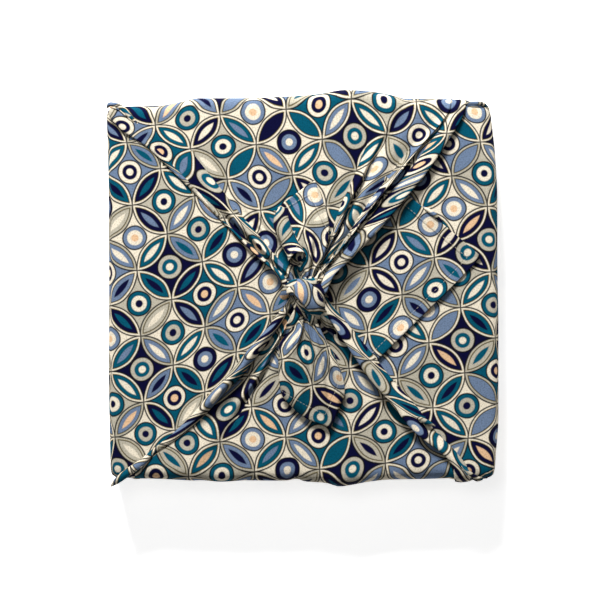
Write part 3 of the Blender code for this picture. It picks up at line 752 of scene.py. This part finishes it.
def ring_lattice(n, uv, pitch, turn):
    """The interlocking circles' own coordinates.

    Circles of radius 0.707 stand on the whole numbers of a turned square lattice. near is the distance to the
    nearest centre and next the distance to the second nearest, so next < 0.707 marks the petal where two
    circles cross, and the rest of each cell is a star with four points. It returns the whole numbers of the
    star and of the petal, then both distances.
    """
    turned = n.add("ShaderNodeMapping", {0: uv, 2: (0, 0, turn), 3: (1 / pitch, 1 / pitch, 1)})
    s, t, _ = n.add("ShaderNodeSeparateXYZ", [turned]).node.outputs
    i, j = n.math("ROUND", s), n.math("ROUND", t)
    dx, dy = n.math("ABSOLUTE", n.math("SUBTRACT", s, i)), n.math("ABSOLUTE", n.math("SUBTRACT", t, j))
    far, little = n.math("MAXIMUM", dx, dy), n.math("MINIMUM", dx, dy)
    beyond = n.distance(n.math("SUBTRACT", 1.0, far), little)
    sideways = n.math("GREATER_THAN", dx, dy)
    upright = n.math("SUBTRACT", 1.0, sideways)
    a = n.plus(n.times(sideways, n.math("FLOOR", s)), n.times(upright, i))
    b = n.plus(n.times(upright, n.math("FLOOR", t)), n.times(sideways, j))
    return (i, j), (a, b, upright), n.distance(dx, dy), beyond


def pick(n, terms, colours):
    """A colour for each cell, picked by the sum of the terms, each times its step, modulo the count."""
    if len(colours) == 1:
        return colours[0]
    count = float(len(colours))
    total = n.plus(*(n.times(value, float(step)) for value, step in terms))
    place = n.math("DIVIDE", n.plus(n.math("FLOORED_MODULO", total, count), 0.5), count)
    ramp = n.add("ShaderNodeValToRGB", [place])
    elements = ramp.node.color_ramp.elements
    ramp.node.color_ramp.interpolation = "CONSTANT"
    while len(elements) < len(colours):
        elements.new(0.5)
    for k in range(len(colours)):
        elements[k].position = k / count
    for k, colour in enumerate(colours):
        elements[k].color = colour
    return ramp


BLUR = 0.014  # how softly the printed shapes end, in circle spacings
INKS = ("teal", "slate", "navy", "peach", "cream", "greige", "ink", "gold")
STAR_STEPS, PETAL_STEPS = (1, 2), (2, 1, 3)  # how the colours move on from one star or petal to the next
# Each star and each petal: its ground, then what is printed on it, by how far each shape reaches from the
# circle's centre in spacings. A shape's colours follow one another from cell to cell.
STAR = (
    ("greige", "cream", "slate", "cream", "teal", "cream", "navy"),
    (0.272, ("ink",)),
    (0.243, ("teal", "slate", "cream", "navy", "cream", "teal", "greige")),
    (0.165, ("cream", "cream", "navy", "slate", "navy", "greige", "teal")),
    (0.078, ("navy", "peach", "cream", "cream", "peach", "navy", "cream")),
)
PETAL = (
    ("cream", "greige", "cream"),
    (0.662, ("gold",)),
    (0.652, ("ink",)),
    (0.637, ("teal", "slate", "navy", "teal", "slate", "navy", "teal", "greige", "slate")),
    (0.562, ("cream", "navy", "slate", "peach", "cream", "teal", "slate", "navy", "cream", "teal", "cream")),
)
CROSSING, OUTLINE = 0.7071, (0.694, 0.724)  # where two circles cross, and the ink line along it


def circle_print(n, uv, settings):
    """The print: each petal has a pale rim, a coloured heart and a pip, and each star a roundel of rings."""
    palette = {name: (*getattr(settings, name), 1.0) for name in INKS}
    star_at, petal_at, near, beyond = ring_lattice(n, uv, settings.pitch, math.radians(PRINT_TURN))

    def shapes(table, numbers, steps, distance):
        terms = tuple(zip(numbers, steps))
        ground, *printed = table
        colour = pick(n, terms, [palette[name] for name in ground])
        for reach, names in printed:
            shape = pick(n, terms, [palette[name] for name in names])
            colour = n.mix(n.below(distance, reach, BLUR), colour, shape)
        return colour

    star = shapes(STAR, star_at, STAR_STEPS, near)
    petal = shapes(PETAL, petal_at, PETAL_STEPS, beyond)
    colour = n.mix(n.below(beyond, CROSSING, BLUR), star, petal)
    return n.mix(n.between(beyond, *OUTLINE, BLUR), colour, palette["ink"])


HEM, HEM_EDGE = 0.0088, 0.0004  # the hem's width in metres, and how softly its step ends
FOLD_LINE, STITCH_LINE = (0.0086, 0.0094), (0.0076, 0.0082)  # from the edge of the cloth
STITCH_LENGTH, STITCH_GAP = 0.0042, -0.3  # from one stitch to the next, and the sine where a stitch begins
PALE_SPECK, FADED = (176, 170, 158), (196, 188, 172)  # tints that the print is multiplied by
# The stitches' thread, and the painted shade that is multiplied over the print along the hem's fold.
STITCH_THREAD, PAINTED_FOLD_SHADE = (186, 178, 160), (60, 56, 52)
DRIFT = 0.0016  # how far the print wanders, in metres


def printed_cotton(settings):
    """Cotton with printed circles that wander a little, on a plain weave with speckles and a stitched hem,
    with shade painted in a dark line along the hem's fold.
    """
    material = bpy.data.materials.new("printed_cotton")
    material.use_nodes = True
    tree = material.node_tree
    tree.nodes.clear()
    n = Nodes(tree)
    uv = n.add("ShaderNodeUVMap", uv_map=UV_LAYER)

    def noise(scale, detail, output=0, **more):
        inputs = {"Vector": uv, "Scale": scale, "Detail": detail, **more}
        return n.add("ShaderNodeTexNoise", inputs, output)

    drift = n.add("ShaderNodeVectorMath", [noise(55.0, 1.0, 1), (0.5, 0.5, 0.5)], operation="SUBTRACT")
    drift = n.add("ShaderNodeVectorMath", {0: drift, "Scale": DRIFT}, operation="SCALE")
    colour = circle_print(n, n.add("ShaderNodeVectorMath", [uv, drift], operation="ADD"), settings)

    speckle = noise(900.0, 3.0, Roughness=0.75)
    colour = n.mix(n.times(n.below(speckle, 0.46, 0.07), 0.5), colour, linear(*PALE_SPECK), "MULTIPLY")
    colour = n.mix(n.times(noise(26.0, 2.0), 0.16), colour, linear(*FADED), "MULTIPLY")

    x, y, _ = n.add("ShaderNodeSeparateXYZ", [uv]).node.outputs
    au, av = n.math("ABSOLUTE", x), n.math("ABSOLUTE", y)
    inset = n.times(n.math("SUBTRACT", CLOTH_TIP * MM, n.plus(au, av)), math.sqrt(0.5))
    wave = n.math("SINE", n.times(n.math("SUBTRACT", au, av), 2 * math.pi / STITCH_LENGTH))
    stitch = n.times(n.between(inset, *STITCH_LINE, 0.0001), n.math("GREATER_THAN", wave, STITCH_GAP))
    colour = n.mix(n.times(stitch, 0.4), colour, linear(*STITCH_THREAD))
    # Painted shade: a dark line multiplied over the print along the hem's fold, where the hem makes a step.
    painted_shade_line = n.between(inset, *FOLD_LINE, 0.0003)
    colour = n.mix(n.times(painted_shade_line, 0.35), colour, linear(*PAINTED_FOLD_SHADE), "MULTIPLY")

    rate = 2 * math.pi / settings.thread
    weave = n.times(n.math("SINE", n.times(x, rate)), n.math("SINE", n.times(y, rate)))
    crumple = noise(120.0, 3.0, Roughness=0.6)
    hem = n.below(inset, HEM, HEM_EDGE)
    reliefs = ((weave, 0.045), (crumple, 0.6), (speckle, 0.12), (hem, 0.35), (stitch, 0.25))
    height = n.plus(*(n.times(relief, share) for relief, share in reliefs))
    shader = n.add("ShaderNodeBsdfPrincipled", {
        "Base Color": colour,
        "Roughness": n.add("ShaderNodeMapRange", {0: speckle, 1: 0.3, 2: 0.7, 3: 0.9, 4: 0.72}),
        "Normal": n.add("ShaderNodeBump", {"Strength": 0.55, "Distance": 0.001, "Height": height}),
        "Sheen Weight": 0.01,
        "Sheen Roughness": 0.5,
        "Specular IOR Level": 0.05,
    })
    n.add("ShaderNodeOutputMaterial", [shader])
    return material


# ---------------------------------------------------------------- settings


def colour_setting(name, description, red, green, blue):
    """A colour that a user may change, with its default given from 0 to 255."""
    default = linear(red, green, blue)[:3]
    return bpy.props.FloatVectorProperty(
        name=name, description=description, subtype="COLOR", size=3, min=0, max=1, default=default
    )


def number(name, description, default, unit="LENGTH", precision=3):
    """A size, a power or a plain number that a user may change."""
    return bpy.props.FloatProperty(
        name=name, description=description, default=default, unit=unit, precision=precision
    )


class FUROSHIKI_PG_cloth(bpy.types.PropertyGroup):
    """The cloth's sizes and the print's colours."""

    side: number("Side", "Length of each side of the square cloth before it is folded", 0.7)
    thickness: number("Thickness", "Thickness of the cotton", 0.0007, precision=5)
    pitch: number("Circle spacing", "Distance between the centres of the printed circles", 0.036)
    thread: number("Thread spacing", "Distance between two threads of the weave", 0.00062, precision=5)
    teal: colour_setting("Teal", "Dark green-blue of stars, rings and petals", 0, 76, 98)
    slate: colour_setting("Slate blue", "Middle blue of stars, rings and petals", 102, 120, 147)
    navy: colour_setting("Navy", "Darkest blue of stars, rings and petals", 5, 6, 46)
    peach: colour_setting("Peach", "Warm dots and pips", 218, 180, 142)
    cream: colour_setting("Cream", "Palest stars, rings and petal rims", 224, 214, 194)
    greige: colour_setting("Greige", "Warm grey of stars, rings and petal rims", 177, 171, 155)
    ink: colour_setting("Ink", "Fine outlines", 12, 11, 14)
    gold: colour_setting("Gold", "Fine inner lines", 134, 120, 78)


class FUROSHIKI_PG_stage(bpy.types.PropertyGroup):
    """The lights, the sky and the camera."""

    key_power: number("Key light", "Power of the soft light over the back", 70.0, "POWER")
    fill_power: number("Top light", "Power of the soft light overhead", 5.0, "POWER")
    sky: number("Sky", "Strength of the white surroundings", 0.08, "NONE")
    height: number("Camera height", "Height of the camera over the floor", 2.2)


# ---------------------------------------------------------------- operators


class FUROSHIKI_OT_side_flaps(bpy.types.Operator):
    """Fold the right corner of the cloth over the box, and the left corner over that"""

    bl_idname = "furoshiki.side_flaps"
    bl_label = "Fold the side corners"

    def execute(self, context):
        for name, side, reach, lean, spread, lift_of, wall_path in SIDE_CORNERS:
            flap(name, side, reach, math.radians(lean), spread, lift_of, wall_path)
        return {"FINISHED"}


class FUROSHIKI_OT_gathers(bpy.types.Operator):
    """Draw the back and front corners of the cloth together in folds over the flaps"""

    bl_idname = "furoshiki.gathers"
    bl_label = "Gather the back and front"

    def execute(self, context):
        for row in GATHERS:
            gather(*row)
        return {"FINISHED"}


class FUROSHIKI_OT_rolled_edges(bpy.types.Operator):
    """Roll the edges of the cloth at the parcel's corners, on the hem and beside the back tail"""

    bl_idname = "furoshiki.rolled_edges"
    bl_label = "Roll the loose edges"

    def execute(self, context):
        for seed, row in enumerate(ROLLED_EDGES, 70):
            roll(*row, seed)
        return {"FINISHED"}


class FUROSHIKI_OT_tails(bpy.types.Operator):
    """Lay the two free ends of the cloth out from the knot"""

    bl_idname = "furoshiki.tails"
    bl_label = "Lay out the tails"

    def execute(self, context):
        for name, lines, tip, axis, seed in TAILS:
            tail(name, lines, tip, math.radians(axis), seed)
        return {"FINISHED"}


class FUROSHIKI_OT_knot(bpy.types.Operator):
    """Tie the single knot: its body, the straps round it and the lobe beside it"""

    bl_idname = "furoshiki.knot"
    bl_label = "Tie the knot"

    def execute(self, context):
        knot_core("knot_core")
        for seed, row in enumerate(KNOT_STRAPS, 100):
            strap(*row, seed)
        roll(*KNOT_LOBE, 120)
        return {"FINISHED"}


class FUROSHIKI_OT_cloth(bpy.types.Operator):
    """Join the sheets into one cloth, give it its thickness and its print, and name it"""

    bl_idname = "furoshiki.cloth"
    bl_label = "Finish the cloth"

    def execute(self, context):
        sheets = [o for o in context.scene.objects if o.type == "MESH" and o.data.uv_layers.get(UV_LAYER)]
        if not sheets:
            raise RuntimeError("there are no sheets of cloth to join")
        cloth = sheets[0]
        with context.temp_override(active_object=cloth, selected_editable_objects=sheets):
            bpy.ops.object.join()
        cloth.name = cloth.data.name = PIECE
        cloth.data.materials.clear()
        cloth.data.materials.append(printed_cotton(context.scene.furoshiki_cloth))
        thickness = cloth.modifiers.new("thickness", "SOLIDIFY")
        thickness.thickness = context.scene.furoshiki_cloth.thickness
        thickness.offset = -1
        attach(cloth, "root")
        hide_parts(NODE)
        return {"FINISHED"}


class FUROSHIKI_OT_stage(bpy.types.Operator):
    """Set out a pale floor, soft studio light and a camera straight above the parcel"""

    bl_idname = "furoshiki.stage"
    bl_label = "Set the stage"

    def execute(self, context):
        settings = context.scene.furoshiki_stage
        add_floor()
        add_light("key", KEY_PLACE, settings.key_power)
        add_light("top", TOP_PLACE, settings.fill_power)
        light_sky(settings.sky)
        add_camera(settings.height)
        context.scene.view_settings.view_transform = "Standard"
        return {"FINISHED"}


FLOOR_REACH, FLOOR_LEVEL = 6.0, -0.0006
FLOOR_GREY, FLOOR_GLOW = 0.93, 0.75
KEY_PLACE, TOP_PLACE = (-0.3, 1.48, 1.1), (-0.3, 0.3, 1.9)
LIGHT_SIZE, LIT_PLACE = 0.5, (0, 0, 0.03)  # the lights are turned to that place


def add_floor():
    """A wide pale floor under the parcel, which glows a little, as a light table does."""
    mesh = bpy.data.meshes.new("floor")
    signs = ((-1, -1), (1, -1), (1, 1), (-1, 1))
    mesh.from_pydata([(FLOOR_REACH * x, FLOOR_REACH * y, FLOOR_LEVEL) for x, y in signs], [], [(0, 1, 2, 3)])
    floor = bpy.data.objects.new("floor", mesh)
    bpy.context.collection.objects.link(floor)
    material = bpy.data.materials.new("pale_floor")
    material.use_nodes = True
    shader = material.node_tree.nodes["Principled BSDF"]
    shader.inputs["Base Color"].default_value = (FLOOR_GREY, FLOOR_GREY, FLOOR_GREY, 1)
    shader.inputs["Roughness"].default_value = 0.9
    shader.inputs["Emission Color"].default_value = (1, 1, 1, 1)
    shader.inputs["Emission Strength"].default_value = FLOOR_GLOW
    mesh.materials.append(material)


def add_light(name, place, power):
    """A square soft light at a place, turned to the parcel."""
    data = bpy.data.lights.new(name, "AREA")
    data.size, data.energy = LIGHT_SIZE, power
    light = bpy.data.objects.new(name, data)
    light.location = place
    light.rotation_euler = (Vector(LIT_PLACE) - Vector(place)).to_track_quat("-Z", "Y").to_euler()
    bpy.context.collection.objects.link(light)


def light_sky(strength):
    """White surroundings of an even strength."""
    world = bpy.data.worlds.new("studio")
    world.use_nodes = True
    world.node_tree.nodes["Background"].inputs[0].default_value = (1, 1, 1, 1)
    world.node_tree.nodes["Background"].inputs[1].default_value = strength
    bpy.context.scene.world = world


IMAGE_WIDE, IMAGE_HIGH = 600, 590
MIDDLE_PX = (303.0, 289.0)  # where the parcel's middle stands in the camera's frame
MM_PER_PX = 0.773
SIGHT_LEVEL = 0.05  # the level at which that scale holds, the top of the parcel


def add_camera(height):
    """A camera straight above, whose lens and shift put the parcel at its place and scale in its frame."""
    data = bpy.data.cameras.new("camera")
    wide = IMAGE_WIDE * MM_PER_PX * MM
    data.lens = data.sensor_width * (height - SIGHT_LEVEL) / wide
    data.shift_x = (IMAGE_WIDE / 2 - MIDDLE_PX[0]) / IMAGE_WIDE
    data.shift_y = (MIDDLE_PX[1] - IMAGE_HIGH / 2) / IMAGE_WIDE
    camera = bpy.data.objects.new("camera", data)
    camera.location = (0, 0, height)
    bpy.context.collection.objects.link(camera)
    bpy.context.scene.camera = camera


class FUROSHIKI_PT_panel(bpy.types.Panel):
    """Makes the furoshiki and its stage, one step after another"""

    bl_idname = "FUROSHIKI_PT_panel"
    bl_label = "Furoshiki wrap"
    bl_space_type = "VIEW_3D"
    bl_region_type = "UI"
    bl_category = "Furoshiki"

    def draw(self, context):
        for group in (context.scene.furoshiki_cloth, context.scene.furoshiki_stage):
            box = self.layout.box()
            for name in group.__annotations__:
                box.prop(group, name)
        for operator in STEPS:
            self.layout.operator(operator.bl_idname)


STEPS = (
    FUROSHIKI_OT_stage,
    FUROSHIKI_OT_side_flaps,
    FUROSHIKI_OT_gathers,
    FUROSHIKI_OT_rolled_edges,
    FUROSHIKI_OT_tails,
    FUROSHIKI_OT_knot,
    FUROSHIKI_OT_cloth,
)
CLASSES = (FUROSHIKI_PG_cloth, FUROSHIKI_PG_stage, *STEPS, FUROSHIKI_PT_panel)


def register():
    for kind in CLASSES:
        bpy.utils.register_class(kind)
    bpy.types.Scene.furoshiki_cloth = bpy.props.PointerProperty(type=FUROSHIKI_PG_cloth)
    bpy.types.Scene.furoshiki_stage = bpy.props.PointerProperty(type=FUROSHIKI_PG_stage)


def unregister():
    del bpy.types.Scene.furoshiki_stage
    del bpy.types.Scene.furoshiki_cloth
    for kind in reversed(CLASSES):
        bpy.utils.unregister_class(kind)


def main():
    register()
    for operator in STEPS:
        getattr(bpy.ops.furoshiki, operator.bl_idname.split(".")[1])()


if __name__ == "__main__":
    main()
